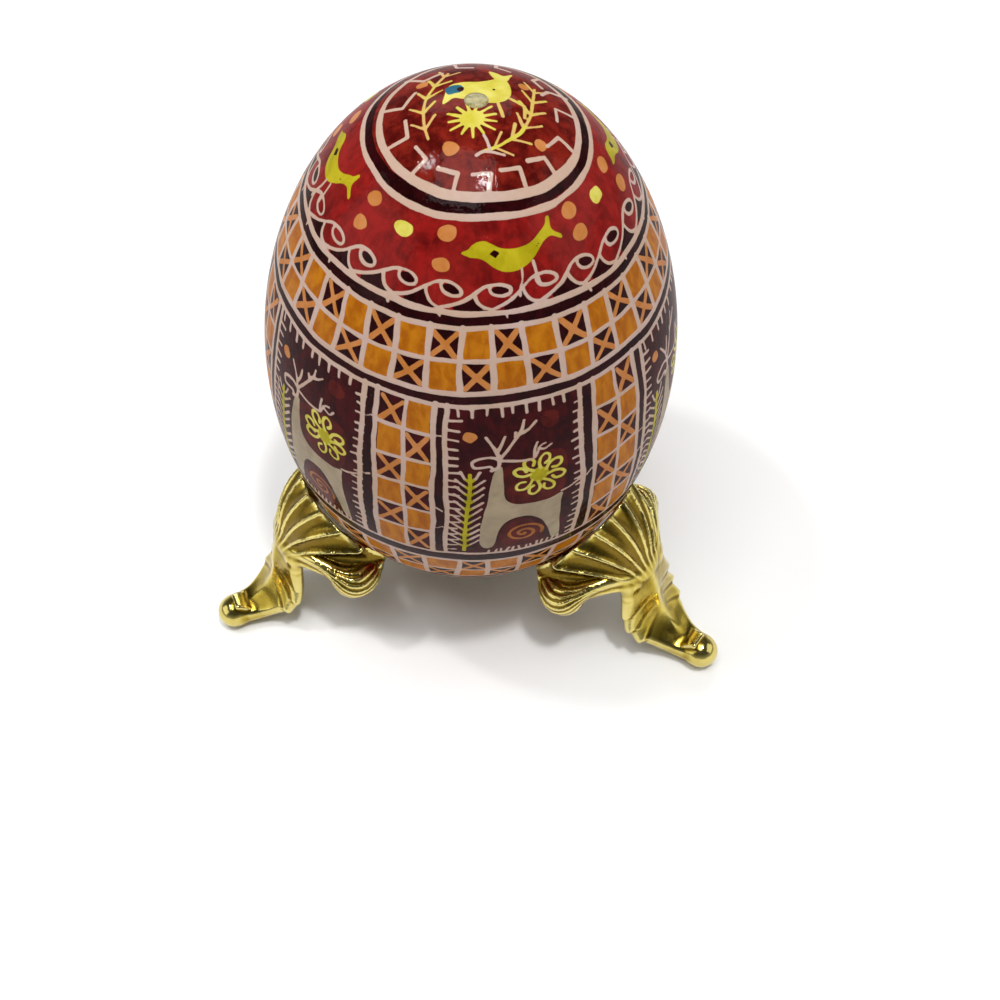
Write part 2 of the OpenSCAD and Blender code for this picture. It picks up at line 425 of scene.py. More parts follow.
def shape(chart, key, pts, smooth=True, cut=False, grow=0.0):
    """A filled outline; cut takes it out of that colour instead."""
    p = chart.place(pts)
    if smooth:
        p = spline(p, 5, True)[:-1]
    win, px, py, q = chart.read(p, 1.0)
    d = to_shape(px, py, q) - grow
    F[key][win] = np.maximum(F[key][win], -d) if cut else np.minimum(F[key][win], d - 0.5 * WIDTH[win])


def dot(chart, key, x, y, r, squash=1.0, seed=0):
    """A dab of wax: nearly round, with an uneven edge."""
    rng = np.random.default_rng(1000 + seed)
    a = np.arange(9) / 9 * 2 * math.pi
    rr = r * (1 + 0.10 * rng.uniform(-1, 1, 9))
    k = D2R * r_at(y) if isinstance(chart, Band) else 1.0
    shape(chart, key, np.stack([x + rr * np.cos(a) * squash / k, y + rr * np.sin(a)], 1))


def ring(key, l, w, lower=False, drift=0.12, seed=0):
    """A line right round the egg at l mm from the pole."""
    rng = np.random.default_rng(500 + seed)
    wave = sum(drift / n * np.sin(n * TH * D2R + rng.uniform(0, 6.3)) for n in (1, 2, 3))
    F[key] = np.minimum(F[key], np.abs(LW - l - wave) - w - WIDTH)


def zone(key, l0, l1):
    F[key] = np.minimum(F[key], np.maximum(l0 - LW, LW - l1))


rng = np.random.default_rng(7)
front = Band()
FLIP = (L_ALL - 1.03, 1.12)  # the lower bands repeat the upper ones a little larger
f = lambda l: FLIP[0] - FLIP[1] * l


def jit(a):
    return rng.uniform(-a, a)


# ---- ground colours
zone("N", -1, 9.6)
zone("R", 11.0, 19.1)

# ---- rings round the upper pole, drawn slightly off centre
top = Cap()
for cx, cy, r, w, more in ((0.38, 0.36, 9.24, 0.33, 0.10), (0.20, 0.26, 10.93, 0.27, 0.02)):
    d = np.abs(np.hypot(top.px - cx, top.py - cy) - r) - w - more * top.py / 10
    F["W"][top.rows] = np.minimum(F["W"][top.rows], d - WIDTH[top.rows])
bottom = Cap(lower=True)
for cx, cy, r, w in ((-0.2, 0.1, 9.6, 0.34), (0.1, 0.0, 11.5, 0.28)):
    d = np.abs(np.hypot(bottom.px - cx, bottom.py - cy) - r) - w
    F["W"][bottom.rows] = np.minimum(F["W"][bottom.rows], d - WIDTH[bottom.rows])
zone("N", L_ALL - 9.9, L_ALL + 1)
zone("E", 27.9, 49.4)
zone("R", f(19.1), L_ALL - 11.5)

# ---- bird band
BIRDS = [12.0, 102.0, 190.0, -86.0]
BIRD = [(-20.6, 14.0), (-18.2, 13.7), (-16.2, 13.3), (-13.8, 13.05), (-11.0, 13.05), (-8.4, 13.3), (-5.0, 13.65), (0, 13.85),
        (4.5, 13.8), (8.5, 13.45), (12, 12.95), (15, 12.55), (16.4, 12.05), (17.9, 12.1), (17.3, 12.85), (18.0, 13.3), (21.0, 13.85), (20.4, 14.15), (16.2, 13.65),
        (12.5, 13.9), (9.0, 14.6), (5.4, 15.25), (1.6, 15.6), (-2.0, 15.65), (-5.4, 15.5), (-8.8, 15.05), (-11.6, 14.55), (-14.4, 14.3), (-17.6, 14.25)]


def bird_band(chart, skip_right=()):
    for n, c in enumerate(BIRDS):
        b = Band(c, chart.flip)
        shape(b, "G", BIRD)
        shape(b, "K", [(-9.9, 14.0), (-7.8, 13.72), (-5.4, 13.98), (-7.3, 14.42)], smooth=False)
        line(b, "W", [(2.2, 15.6), (2.0, 16.4), (0.9, 17.2), (0.5, 17.9)], 0.13)
        line(b, "W", [(6.6, 15.2), (7.2, 16.2), (7.6, 17.2)], 0.13)
        line(b, "K", [(9.2, 14.05), (10.2, 13.9)], 0.08)
    gap = [(-65, 12.3, "P"), (-65, 14.7, "P"), (-46, 13.1, "Y"), (-27, 12.5, "P"), (-27.5, 15.25, "P")]
    for n, c in enumerate(BIRDS):
        for m, (x, y, key) in enumerate(gap):
            wide = 90 if n in (0, 1) else 88
            x = x if n == 0 else x * 0.94 + jit(0.8)
            b = Band(c, chart.flip)
            dot(b, key, x, y + (jit(0.2) if n else 0), 0.68, 1.25, seed=n * 10 + m)


bird_band(front)
bird_band(Band(0, FLIP))

# ---- running wave
WAVE_N = 22
for flip, off in ((None, 0.0), (FLIP, 6.0)):
    for k in range(WAVE_N):
        b = Band(-27.4 + off + k * 360 / WAVE_N + jit(0.5), flip)
        hgt, wid = 1 + jit(0.06), 1 + jit(0.06)
        up = lambda x, y: (x * wid, 19.1 - (19.1 - y) * hgt)
        rise = [up(-19.9, 18.8), up(-15.8, 18.4), up(-12.2, 17.9), up(-8.8, 17.25), up(-5.6, 16.7), up(-2.6, 16.5), up(0.8, 16.55), up(3.4, 16.95),
                up(3.3, 17.4), up(0.6, 17.6), up(-2.3, 17.4), up(-3.5, 16.95), up(-3.0, 16.58)]
        down = [up(-8.8, 17.3), up(-7.9, 17.95), up(-6.2, 18.5), up(-3.0, 18.85)]
        line(b, "W", rise, 0.15)
        line(b, "W", down, 0.15)
        shape(b, "R", [(-15.6, 19.2)] + rise[1:4] + down + [(-3.0, 19.2)], smooth=False, cut=True)
        if rng.uniform() < 0.5:
            shape(b, "R", rise[6:12], cut=True)
ring("W", 19.17, 0.27, seed=1, drift=0.06)
ring("W", 20.42, 0.23, seed=2, drift=0.06)
for k in range(16):  # small slips of the pen on the dark line
    line(Band(-60 + k * 23 + jit(6)), "W", [(0, 19.3), (0.4 + jit(0.5), 19.62 + jit(0.08))], 0.13)
ring("W", f(19.17), 0.27, seed=3, drift=0.06)
ring("W", f(20.42), 0.23, seed=4, drift=0.06)

# ---- checker bands, one cell plain and the next crossed
CROSS = [-70, -50.5, -31.5, -11.8, 6.7, 27, 46, 65.5]
CROSS += [65.5 + (290 - 65.5) / 12 * k for k in range(1, 12)]


def cell(x0, x1, y0, y1, crossed, flip=None):
    b = Band(0, flip)
    gx, gy = 0.17 / (D2R * r_at(y0 if flip is None else f(y0))), 0.15
    box = [(x0 + gx, y0 + gy), (x1 - gx, y0 + gy), (x1 - gx, y1 - gy), (x0 + gx, y1 - gy)]
    if crossed:
        a = 0.13
        X = lambda u, v: (x0 + (x1 - x0) * u, y0 + (y1 - y0) * v)
        line(b, "P", [X(a + jit(0.04), a), X(0.5, 0.5), X(1 - a, 1 - a + jit(0.03))], 0.25, smooth=False)
        line(b, "P", [X(1 - a, a + jit(0.03)), X(0.5, 0.5), X(a + jit(0.04), 1 - a)], 0.25, smooth=False)
    else:
        shape(b, "O", box, smooth=False, grow=0.12)
    return b


def checker(rows, w, flip=None):
    cs = np.array(CROSS)
    nxt = np.append(cs[1:], cs[0] + 360)
    mid = (cs + nxt) / 2
    edges = np.sort(np.concatenate([(cs + mid) / 2, (mid + nxt) / 2]))
    for y in rows[1:-1]:
        pass
    for n in range(len(cs)):
        for r in range(len(rows) - 1):
            y0, y1 = rows[r], rows[r + 1]
            left = (cs[n] + mid[n - 1] - (360 if n == 0 else 0)) / 2
            a, b_, c_ = left, (cs[n] + mid[n]) / 2, (mid[n] + nxt[n]) / 2
            cell(a, b_, y0, y1, r % 2 == 0, flip)
            cell(b_, c_, y0, y1, r % 2 == 1, flip)
    for e in edges:
        line(Band(0, flip), "W", [(e + jit(0.5), rows[0] - 0.1), (e + jit(0.3), (rows[0] + rows[-1]) / 2), (e + jit(0.6), rows[-1] + 0.1)], w)


checker([20.5, 23.52, 26.4], 0.275)
ring("W", 23.52, 0.21, seed=5, drift=0.06)
ring("W", 26.48, 0.27, seed=6, drift=0.06)
ring("W", 27.78, 0.24, seed=7, drift=0.06)
checker([20.5, 23.52, 26.4], 0.275, FLIP)
ring("W", f(23.52), 0.21, seed=8, drift=0.06)
ring("W", f(26.48), 0.27, seed=9, drift=0.06)

# ---- tall panels: a stag in every other one, a checkered strip between
P0, P1 = 27.95, 49.45
ring("W", 49.5, 0.22, seed=10, drift=0.05)
STRIPS = [-21.5 + 60 * k for k in range(6)]
for n, c in enumerate(STRIPS):
    b = Band(c)
    shape(b, "E", [(-12.2, 27.5), (-7.8, 27.5), (-7.8, 49.6), (-12.2, 49.6)], smooth=False, cut=True)
    shape(b, "E", [(11.3, 27.5), (7.8, 27.5), (7.8, 49.6), (11.3, 49.6)], smooth=False, cut=True)
    for x, w in ((-12.2, 0.28), (-7.9, 0.27), (7.9, 0.27), (11.3, 0.24)):
        line(b, "W", [(x + jit(0.3), P0 - 0.2), (x + jit(0.3), 34), (x + jit(0.3), 41), (x + jit(0.3), P1)], w)
    for y in (31.0, 38.6, 41.3, 44.0):  # where the pen lifted on the dark uprights
        for x in (-9.8, 9.8):
            if rng.uniform() < 0.4:
                line(b, "W", [(x - 1.1, y + jit(1)), (x + 0.4, y + 0.15 + jit(0.2))], 0.09)
    mid = 0.2 + jit(0.3)
    line(b, "W", [(mid + jit(0.2), P0), (mid + jit(0.3), 35), (mid + jit(0.2), 42), (mid + jit(0.3), P1)], 0.21)
    ys = [28.0, 31.4, 34.9, 38.35, 41.85, 45.35, 49.4]
    for r in range(6):
        y0, y1 = ys[r] + jit(0.12), ys[r + 1]
        first = (r + n) % 2 == 0
        cell(c - 7.3, c + mid, ys[r], y1, first)
        cell(c + mid, c + 7.3, ys[r], y1, not first)
        if r:
            line(b, "W", [(-7.8, ys[r] + jit(0.15)), (0, ys[r] + jit(0.1)), (7.8, ys[r] + jit(0.15))], 0.2)

STAG = [(-5.0, 35.1), (-6.4, 35.8), (-7.2, 38.1), (-7.9, 40.8), (-8.8, 43.5), (-9.4, 46.1), (-9.3, 47.4), (-7.9, 48.2), (-6.2, 48.0), (-5.2, 46.9), (-4.6, 45.6),
        (-3.4, 44.2), (-1.6, 43.25), (0.8, 42.8), (3.6, 42.8), (5.8, 43.4), (7.6, 44.5), (9.3, 46.3), (10.4, 48.2), (11.7, 48.9), (13.0, 48.3),
        (12.5, 45.8), (12.1, 43.5), (11.9, 41.5), (12.1, 40.3), (9.0, 40.65), (4.9, 40.7), (0.8, 40.55), (-1.8, 40.0), (-3.0, 39.1), (-3.5, 37.7), (-3.8, 36.1),
        (-4.1, 35.1)]
HILL = [(-5.9, 49.3), (-4.6, 46.4), (-3.0, 44.6), (-0.8, 43.4), (1.8, 42.95), (4.4, 43.6), (6.3, 45.2), (7.9, 47.3), (9.0, 49.3)]
FIELD = [(-3.9, 35.6), (1.5, 34.4), (6, 33.9), (12.5, 34.4), (13.6, 36.5), (12.8, 39.2), (9.5, 40.6), (3, 40.9), (-0.9, 40.4), (-2.6, 39)]
for n in range(6):
    c = 8.5 + 60 * n
    b = Band(c)
    j = lambda a=0.3: jit(a)
    # comb of short strokes round the panel
    for x in (-16.5, -12.5, -8.6, -5, -1.5, 2, 6, 9.6, 13.1):
        x += j(0.5)
        line(b, "W", [(x, 27.8), (x + 0.2 + j(0.3), 28.95 + j(0.2))], 0.14)
    y = 29.4
    while y < 48.6:
        line(b, "W", [(-18.6, y + j(0.1)), (-15.4 + j(0.6), y + 0.05 + j(0.12))], 0.14)
        y += 1.08 + j(0.1)
    y = 29.3
    while y < 48.6:
        line(b, "W", [(18.4, y + j(0.1)), (15.6 + j(0.6), y + 0.15 + j(0.12))], 0.14)
        y += 1.06 + j(0.1)
    shape(b, "D", FIELD)
    shape(b, "S", STAG)
    # muzzle and ears
    line(b, "W", [(-4.8, 34.1), (-7, 33.62), (-9.6, 33.75), (-11.7, 34.25), (-11.2, 34.95), (-9, 34.95), (-7.2, 34.85), (-6.6, 35.3)], 0.17)
    line(b, "W", [(-6.9, 35.4), (-5.2, 35.0), (-4.9, 34.1)], 0.2)
    # antlers
    for pts in ([(-4.9, 34.0), (-6.3, 32.7), (-8.4, 31.2)], [(-5.4, 33.1), (-4.6, 32.2), (-3.8, 31.2)],
                [(-4.9, 34.0), (-2.3, 32.5), (0.4, 31.0), (1.4, 29.8)], [(0.1, 31.2), (2.4, 30.8), (4.6, 30.2)], [(-0.8, 31.5), (-0.9, 30.9)],
                [(-4.9, 34.2), (0, 34.45), (4.2, 34.3), (5.6, 33.2), (7.4, 32.9)], [(4.0, 34.2), (4.4, 33.2), (4.9, 32.5)], [(5.4, 33.3), (7.6, 33.6), (9, 33.2)]):
        line(b, "W", [(x + j(0.25), y + j(0.1)) for x, y in pts], 0.15, taper=0.12)
    line(b, "W", [(11.9, 40.1), (14.2, 39.9), (17.2, 39.3)], 0.15)
    # the sun flower beside the neck
    k = 1 / (D2R * r_at(36.6))
    fx, fy = 6.1 + j(0.3), 36.75 + j(0.15)
    dot(b, "G", fx, fy, 0.95, 1.0, seed=200 + n)
    for m in range(8):
        a = m * math.pi / 4 + 0.25 + j(0.12)
        e = [(0.85, -0.10), (1.4, -0.45), (2.1, -0.52), (2.6, -0.14), (2.4, 0.36), (1.85, 0.46), (1.45, 0.16)]
        line(b, "Y", [(fx + (u * math.cos(a) - v * math.sin(a)) * k, fy + u * math.sin(a) + v * math.cos(a)) for u, v in e], 0.155)
    # dots
    dot(b, "P", -12.1 + j(), 31.3 + j(0.2), 0.60, 1.05, seed=300 + n)
    dot(b, "D", 8.9 + j(), 30.4 + j(0.2), 0.95, 1.0, seed=320 + n)
    # sprig
    line(b, "G", [(-12.2, 35.9), (-12.5, 39), (-13.1, 43), (-13.6, 48.7)], 0.2)
    y = 36.3
    while y < 48.2:
        x = -12.2 - 1.4 * (y - 35.9) / 12.8
        r = 1.15 if y > 37 else 0.8
        for u in (-1, 1):
            line(b, "G", [(x + 0.1 * u, y + 0.6), (x + 1.5 * u, y + 0.12)], 0.16, smooth=False)
            line(b, "W", [(x + 1.4 * u, y + 0.15), (x + 3.3 * r * u, y - 0.72 + j(0.1))], 0.14, smooth=False)
        y += 1.08 + j(0.08)
    # hill with a coil, and grass
    shape(b, "D", HILL)
    kk = 1 / (D2R * 21)
    line(b, "C", [(2.5 + (0.10 + 0.128 * t) * math.cos(t + 0.4) * 1.15 * kk, 45.95 + (0.10 + 0.128 * t) * math.sin(t + 0.4)) for t in np.arange(0, 12.9, 0.42)], 0.17)
    for x in np.arange(-7.0, 13.0, 1.65):
        line(b, "W", [(x + j(0.3), 49.3), (x + 0.2 + j(0.4), 48.6 + j(0.15))], 0.13)

# dark uprights and belts are bare ground, so nothing else is drawn on them
# ---- upper pole
HOOKS = [((-2.6, 9.2), (-2.0, 7.4), (-3.7, 6.7)), ((0.6, 9.1), (0.8, 7.6), (-0.8, 7.6)), ((3.8, 8.4), (3.4, 6.9), (1.7, 7.2)),
         ((6.9, 6.8), (5.7, 5.4), (4.2, 6.1)), ((8.6, 3.6), (7.1, 2.9), (6.0, 4.2)), ((9.5, -0.8), (7.3, -0.8), (7.2, 0.9)),
         ((8.9, -4.2), (7.0, -3.6), (6.2, -2.4)), ((6.6, -6.8), (5.6, -5.1), (6.4, -3.9)), ((-6.2, 6.6), (-4.6, 5.6), (-5.4, 4.2)),
         ((-8.2, 3.2), (-6.1, 2.9), (-6.2, 0.9)), ((-8.5, -1.8), (-6.4, -0.9), (-5.3, -2.8)), ((-6.3, -6.4), (-4.6, -4.7), (-2.9, -5.6)),
         ((-1.5, -8.7), (-1.3, -6.6), (0.1, -6.3)), ((2.6, -8.5), (2.3, -6.8), (3.5, -6.0))]
for h in HOOKS:
    line(top, "W", h, 0.19, smooth=False)
for n, h in enumerate(HOOKS):
    line(Cap(9, True, 1.03), "W", h, 0.19, smooth=False)
shape(top, "Y", [(-2.85, 0.1), (-2.75, -0.7), (-2.5, -1.9), (-2.1, -2.6), (-1.2, -2.78), (0, -2.72), (1.1, -2.95), (1.9, -3.4), (2.7, -3.5),
                 (3.1, -2.5), (3.05, -1.2), (2.5, -0.15), (1.5, 0.3), (0.6, 0.25), (-0.3, 0.05), (-1.3, -0.25), (-1.9, -0.45), (-2.5, 0.0)])
shape(top, "Y", [(1.9, -3.3), (1.5, -4.2), (1.5, -5.1), (2.1, -4.8), (2.7, -4.3), (3.6, -5.0), (3.3, -4.2), (2.9, -3.3)])
dot(top, "B", -1.9, -1.75, 0.74, 1.05, seed=400)
dot(top, "K", -1.35, -1.6, 0.36, 0.8, seed=404)
dot(top, "P", 0.2, -1.75, 0.2, seed=401)
dot(top, "K", 1.6, -1.5, 0.14, seed=402)
line(top, "T", [(2.9, -0.5), (4.05, 0.15), (4.0, 1.6)], 0.14, smooth=False)
line(top, "T", [(1.75, 0.2), (2.1, 1.8)], 0.14)
dot(top, "Y", -0.35, 2.15, 0.98, seed=403)
for m in range(13):
    a = m * 2 * math.pi / 13 + 0.15
    line(top, "Y", [(-0.35 + 0.8 * math.cos(a), 2.15 + 0.8 * math.sin(a)), (-0.35 + (1.95 + 0.25 * (m % 2)) * math.cos(a), 2.15 + (1.75 + 0.2 * (m % 2)) * math.sin(a))], 0.16, taper=0.3)


def fir(chart, key, stem, n, size, lean=0.75, w=0.14):
    """A stem with short twigs in pairs."""
    p = spline(stem, 12)
    line(chart, key, p, w, smooth=False)
    s = np.concatenate([[0], np.cumsum(np.hypot(*np.diff(p, axis=0).T))])
    for m in range(n):
        at = s[-1] * (m + 0.6) / n
        x, y = np.interp(at, s, p[:, 0]), np.interp(at, s, p[:, 1])
        x2, y2 = np.interp(at + 0.1, s, p[:, 0]), np.interp(at + 0.1, s, p[:, 1])
        a = math.atan2(y2 - y, x2 - x)
        for side in (-1, 1):
            q = a + side * lean + jit(0.08)
            line(chart, key, [(x, y), (x + size * math.cos(q), y + size * math.sin(q))], w, taper=0.1)


fir(top, "T", [(-4.15, 3.7), (-4.55, 1.5), (-4.45, -0.6), (-3.6, -2.9), (-2.3, -5.2)], 5, 1.6, w=0.125)
fir(top, "T", [(0.3, 5.6), (2.0, 4.75), (3.5, 3.5), (4.4, 1.6), (5.0, -0.6), (5.6, -3.0)], 6, 1.75, w=0.125)
line(top, "Y", [(0.9, 5.4), (2.0, 4.75), (3.5, 3.5), (4.0, 2.6)], 0.15)
line(top, "W", [(-0.3, 5.95), (0.5, 5.6), (2.1, 5.8)], 0.14)
line(top, "W", [(0.9, 5.3), (0.7, 4.4), (0.5, 3.9)], 0.14)
for x, y, r, key in ((-2.4, 5.0, 0.72, "P"), (5.4, 4.25, 0.58, "P"), (4.5, -2.9, 0.5, "P"), (-4.7, -3.9, 0.55, "P"), (-7.0, 4.6, 0.0, "P")):
    if r:
        dot(top, key, x, y, r, seed=int(abs(x * 7 + y * 3)))

# ---- lower pole: an eight-pointed rose with firs between
for m in range(8):
    c = Cap(45 * m + 6, True)
    shape(c, "Y" if m % 2 else "P", [(0, 1.3), (0.85, 2.4), (0, 4.4), (-0.85, 2.4)], smooth=False)
    line(c, "W", [(0, 1.15), (1.0, 2.4), (0, 4.7), (-1.0, 2.4)], 0.12, smooth=False, closed=True)
    if m % 2 == 0:
        fir(c, "G", [(0, 7.4), (0, 6.2), (0, 5.1)][::-1], 3, 0.8, w=0.12)
    else:
        dot(c, "P", 0, 6.0, 0.5, seed=440 + m)

# shell mesh: outer surface, hole walls and inner surface in one closed skin
def shell():
    rows = [(r, z) for r, z in zip(R_ROW - 0.012, outline(A_ROW)[1] * (1 - 0.0004))]
    rows[0], rows[-1] = (HOLE_R + 0.05, rows[0][1]), (HOLE_R + 0.05, rows[-1][1])
    inner_a = np.linspace(A_ROW[-1], A_ROW[0], 44)
    ri, zi = outline(inner_a, SHELL_T)
    inner = list(zip(np.maximum(ri, HOLE_R), zi))
    edge_low = [(HOLE_R, rows[-1][1] + 0.06)]
    edge_top = [(HOLE_R, rows[0][1] - 0.06)]
    prof = np.array(rows + edge_low + inner + edge_top)
    n = len(prof)
    th = T_COL * D2R
    P = np.stack([prof[:, :1] * np.sin(th), -prof[:, :1] * np.cos(th), prof[:, 1:] + 0 * th], -1).reshape(-1, 3)
    i, jj = np.meshgrid(np.arange(n), np.arange(NT), indexing="ij")
    a = i * NT + jj
    b = i * NT + (jj + 1) % NT
    c = (i + 1) % n * NT + (jj + 1) % NT
    d = (i + 1) % n * NT + jj
    faces = np.stack([a, d, c, b], -1).reshape(-1, 4)
    pad = (n - NL) * NT
    att = lambda keys: np.concatenate([np.stack([F[k].ravel() for k in keys], 1), np.full((pad, 3), 9.0)])
    ob = make_mesh("painted_shell", leaned(P), faces, {
        "ink_a": att(("W", "Y", "G")), "ink_b": att(("O", "P", "R")), "ink_c": att(("N", "K", "S")),
        "ink_d": np.concatenate([np.stack([F["B"].ravel(), F["T"].ravel(), 0 * LL.ravel()], 1), np.tile([9.0, 9.0, 1.0], (pad, 1))]),
        "ink_e": att(("D", "E", "C"))})
    # a flat map: the outer skin fills all but a strip along the bottom
    uv = ob.data.uv_layers.new(name="OFBake")
    v = np.concatenate([0.999 - np.arange(NL) / (NL - 1) * 0.949, 0.045 - np.arange(n - NL + 1) / (n - NL) * 0.040])
    u0, u1 = jj / NT, (jj + 1) / NT
    vt, vb = v[i], np.where(i + 1 < NL, v[np.minimum(i + 1, NL - 1)], v[np.minimum(i + 2, n)])
    vt = np.where(i >= NL - 1, v[np.minimum(i + 1, n)], vt)
    co = np.stack([u0, vt, u0, vb, u1, vb, u1, vt], -1).reshape(-1)
    uv.data.foreach_set("uv", co.astype(np.float32))
    return ob


egg = shell()


def egg_material():
    m = Nodes("varnished_dyed_eggshell")
    at = {}
    for name, keys in (("ink_a", "WYG"), ("ink_b", "OPR"), ("ink_c", "NKS"), ("ink_d", "BTI"), ("ink_e", "DEC")):
        sep = m.new("SeparateXYZ")
        m.t.links.new(m.attr(name).outputs["Vector"], sep.inputs[0])
        for k, o in zip(keys, sep.outputs):
            at[k] = o
    edge = m.math("MULTIPLY_ADD", m.noise(0.42, 3, 0.6), 0.07, -0.035)  # the wax line's ragged edge
    edge2 = m.math("MULTIPLY_ADD", m.noise(0.9, 2, 0.5, seed=0.3), 0.10, -0.05)
    blot = m.noise(2.6, 4, 0.62, 0.6, seed=0.11)
    blot2 = m.noise(7.5, 3, 0.55, 0.3, seed=0.23)
    fine = m.noise(0.55, 4, 0.65, seed=0.37)
    streak = m.noise(1.0, 4, 0.6, 0.4, vector=m.coords(0.5, (1.0, 1.0, 0.35)))
    mot = m.ramp(m.math("MULTIPLY_ADD", streak, 0.5, m.math("MULTIPLY", blot, 0.5)), 0.36, 0.64)

    def on(k, e=None, soft=0.035):
        d = m.math("ADD", at[k], edge if e is None else e)
        return m.ramp(d, -soft, soft, 1.0, 0.0)

    dark = m.mix(mot, (0.0100, 0.0012, 0.0016), (0.0270, 0.0022, 0.0032))
    maroon = m.mix(mot, (0.0190, 0.0008, 0.0016), (0.0520, 0.0020, 0.0036))
    coil = m.mix(mot, (0.210, 0.056, 0.0080), (0.350, 0.112, 0.0200))
    dim = m.mix(mot, (0.0400, 0.0022, 0.0022), (0.1000, 0.0080, 0.0050))
    red = m.mix(mot, (0.085, 0.0030, 0.0030), (0.250, 0.0085, 0.0075))
    red = m.mix(m.ramp(blot2, 0.35, 0.7, 0.0, 0.35), red, (0.290, 0.022, 0.016))
    brown = m.mix(mot, (0.060, 0.0030, 0.0024), (0.200, 0.0140, 0.0075))
    orange = m.mix(m.ramp(streak, 0.32, 0.68), (0.320, 0.086, 0.0026), (0.465, 0.162, 0.0070))
    pink = m.mix(m.ramp(blot, 0.3, 0.7), (0.430, 0.150, 0.030), (0.510, 0.205, 0.068))
    tips = m.mix(m.ramp(blot, 0.35, 0.65), (0.560, 0.340, 0.125), (0.530, 0.440, 0.075))
    green = m.mix(m.ramp(blot, 0.3, 0.7), (0.300, 0.250, 0.004), (0.450, 0.375, 0.014))
    yellow = m.mix(m.ramp(blot, 0.3, 0.7), (0.500, 0.425, 0.036), (0.620, 0.560, 0.120))
    stag = m.mix(m.ramp(blot, 0.3, 0.7), (0.290, 0.225, 0.145), (0.390, 0.305, 0.205))
    white = m.mix(m.ramp(blot2, 0.35, 0.65), (0.505, 0.370, 0.318), (0.485, 0.340, 0.258))
    white = m.mix(m.ramp(fine, 0.35, 0.75, 0.0, 0.18), white, (0.42, 0.21, 0.15))
    blue = m.mix(m.ramp(blot, 0.3, 0.7), (0.012, 0.070, 0.120), (0.025, 0.120, 0.180))
    col = dark
    for k, c, e in (("E", maroon, edge2), ("D", dim, edge2), ("N", brown, edge2), ("R", red, edge2), ("P", pink, None), ("C", coil, None), ("O", orange, edge2), ("T", tips, None), ("G", green, None), ("Y", yellow, None),
                    ("S", stag, None), ("B", blue, None), ("W", white, None), ("K", dark, None)):
        col = m.mix(on(k, e), col, c)
    # thin places in the dye, and fine specks under the varnish
    speck = m.ramp(m.noise(0.30, 2, 0.5, seed=0.71), 0.70, 0.78, 0.0, 0.30)
    col = m.mix(speck, col, m.mix(0.3, col, (0.50, 0.24, 0.16)))
    col = m.mix(at["I"], col, m.mix(m.ramp(fine, 0.3, 0.7), (0.72, 0.66, 0.56), (0.80, 0.76, 0.68)))
    height = m.math("MULTIPLY_ADD", m.noise(0.22, 3, 0.6, seed=0.9), 0.45, m.math("MULTIPLY", m.noise(1.4, 3, 0.5, seed=0.63), 0.9))
    relief = m.ramp(at["W"], -0.12, 0.10, 1.0, 0.0)
    n1 = m.bump(height, 0.050, 0.75)
    n2 = m.bump(relief, 0.020, 0.6, n1)
    b = m.shader(Base_Color=col, Roughness=m.ramp(fine, 0.3, 0.7, 0.30, 0.42), Normal=n2)
    b.inputs["Specular IOR Level"].default_value = 0.0
    b.inputs["Coat Weight"].default_value = 0.30
    b.inputs["Coat Roughness"].default_value = 0.05
    b.inputs["Coat IOR"].default_value = 1.33
    # the varnish pools unevenly, so its highlights break into small glints
    glaze = m.math("MULTIPLY_ADD", m.noise(0.48, 2, 0.5, seed=1.3), 0.6, m.math("MULTIPLY", m.noise(1.7, 3, 0.5, seed=0.63), 0.9))
    m.t.links.new(m.bump(glaze, 0.052, 0.9), b.inputs["Coat Normal"])
    return m.mat


egg.data.materials.append(egg_material())
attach(egg, "egg")
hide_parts("egg_shell")


# ================================================================ seals in the blow holes
def filler_material():
    m = Nodes("hardened_filler")
    a = m.noise(0.5, 4, 0.6, 0.5)
    b = m.noise(0.18, 3, 0.6, seed=0.4)
    col = m.mix(m.ramp(a, 0.3, 0.7), (0.16, 0.135, 0.035), (0.36, 0.31, 0.11))
    col = m.mix(m.ramp(b, 0.55, 0.75, 0.0, 0.5), col, (0.50, 0.47, 0.25))
    s = m.shader(Base_Color=col, Roughness=m.ramp(b, 0.3, 0.7, 0.28, 0.5), Normal=m.bump(a, 0.05, 0.7))
    s.inputs["Coat Weight"].default_value = 0.5
    s.inputs["Coat Roughness"].default_value = 0.12
    return m.mat


FILLER = filler_material()


